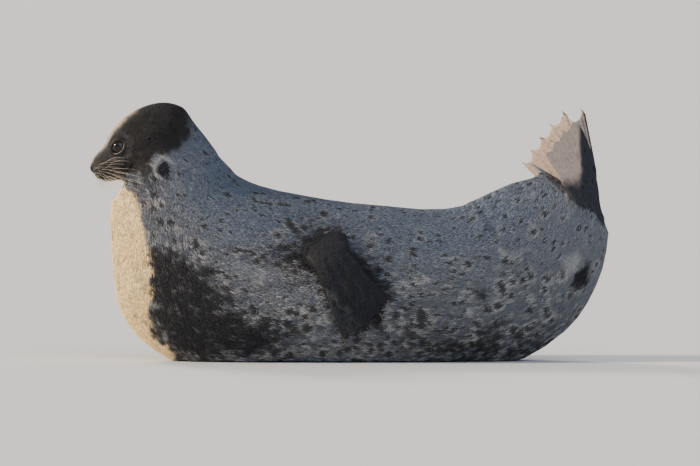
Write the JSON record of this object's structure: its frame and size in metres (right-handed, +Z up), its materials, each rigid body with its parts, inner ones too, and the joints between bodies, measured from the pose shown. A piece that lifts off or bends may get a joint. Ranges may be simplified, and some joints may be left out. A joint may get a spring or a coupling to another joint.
{
  "type": "harbour seal",
  "caption": "Life-size still model of a spotted harbour seal resting on its belly with its head and hind flippers raised.",
  "frame": {"origin": "middle of the flat of the belly, on the floor", "axes": "+X towards the tail, so the snout points to -X; +Y towards the animal's right; +Z up"},
  "size_m": [1.2045, 0.4024, 0.6],
  "materials": {
    "coat": "short flat fur, silver grey with dark spots and rings, cream on the chest",
    "flipper_coat": "short dark fur over skin, dark claws",
    "eye": "wet and black brown",
    "nose_leather": "damp black leather"
  },
  "bodies": {
    "root": {"head": "coat", "neck": "coat", "chest": "coat", "belly": "coat", "hips": "coat", "tail": "coat", "fore_flipper_left": "flipper_coat", "fore_flipper_right": "flipper_coat", "hind_flipper_left": "flipper_coat", "hind_flipper_right": "flipper_coat", "eye_left": "eye", "eye_right": "eye", "nose": "nose_leather"}
  },
  "joints": []
}
